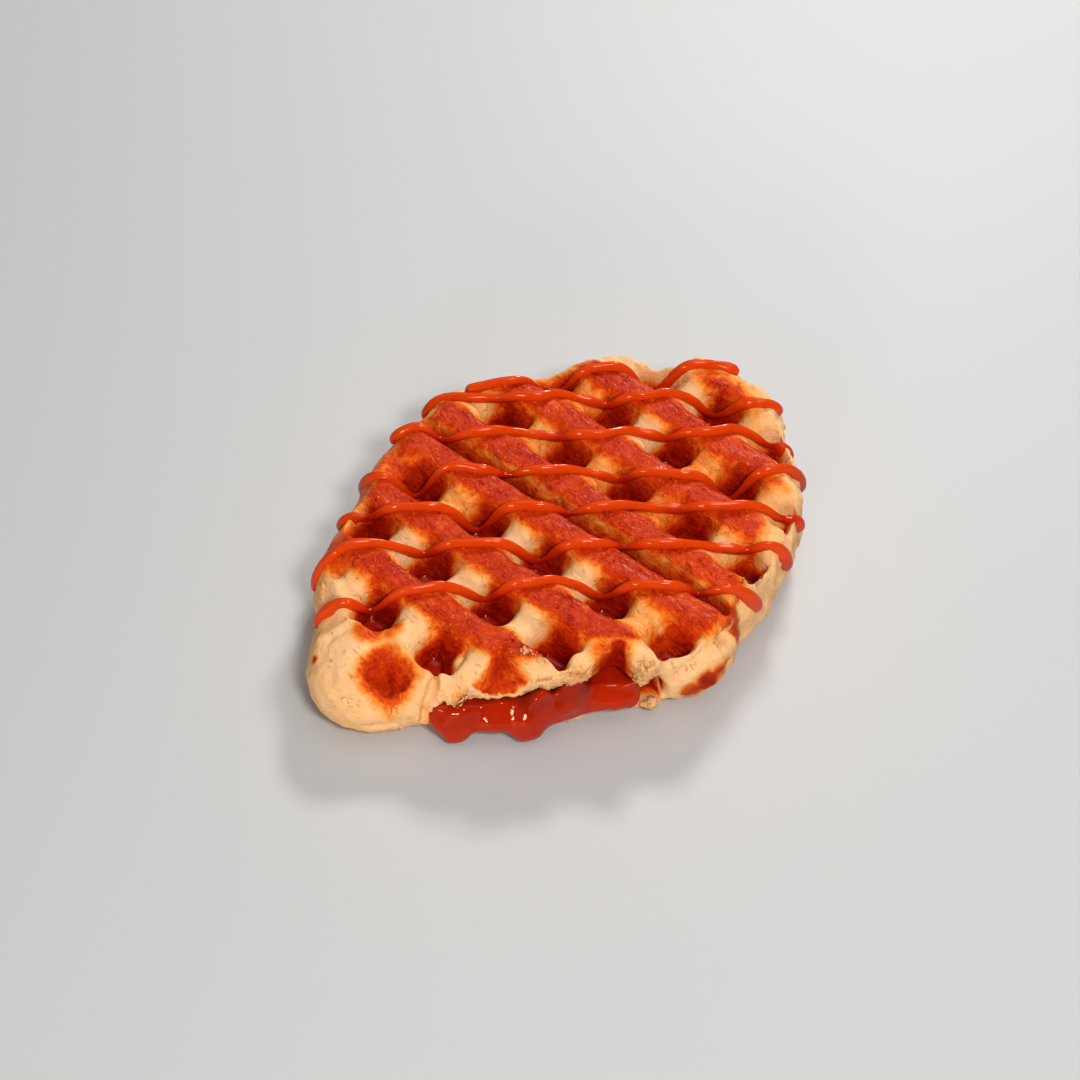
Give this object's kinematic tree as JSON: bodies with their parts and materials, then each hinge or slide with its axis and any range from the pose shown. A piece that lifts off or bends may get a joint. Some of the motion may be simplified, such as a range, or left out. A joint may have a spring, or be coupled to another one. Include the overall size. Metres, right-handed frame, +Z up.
{
  "type": "croffle",
  "caption": "Croissant dough baked in a waffle iron, deep pockets and crossing ridges, puffed torn edge over a caramel filling, threads of drizzle across the top.",
  "frame": {"origin": "under the middle of the croffle's box, on the surface that it lies on", "axes": "+X along the length, +Y along the main ridges, +Z up through the thickness"},
  "size_m": [0.1286, 0.0914, 0.021],
  "materials": {
    "pastry": "baked laminated dough under a translucent wet caramel glaze",
    "filling": "glossy dark red-brown caramel"
  },
  "bodies": {
    "root": {"pastry": "pastry", "filling": "filling"}
  },
  "joints": []
}
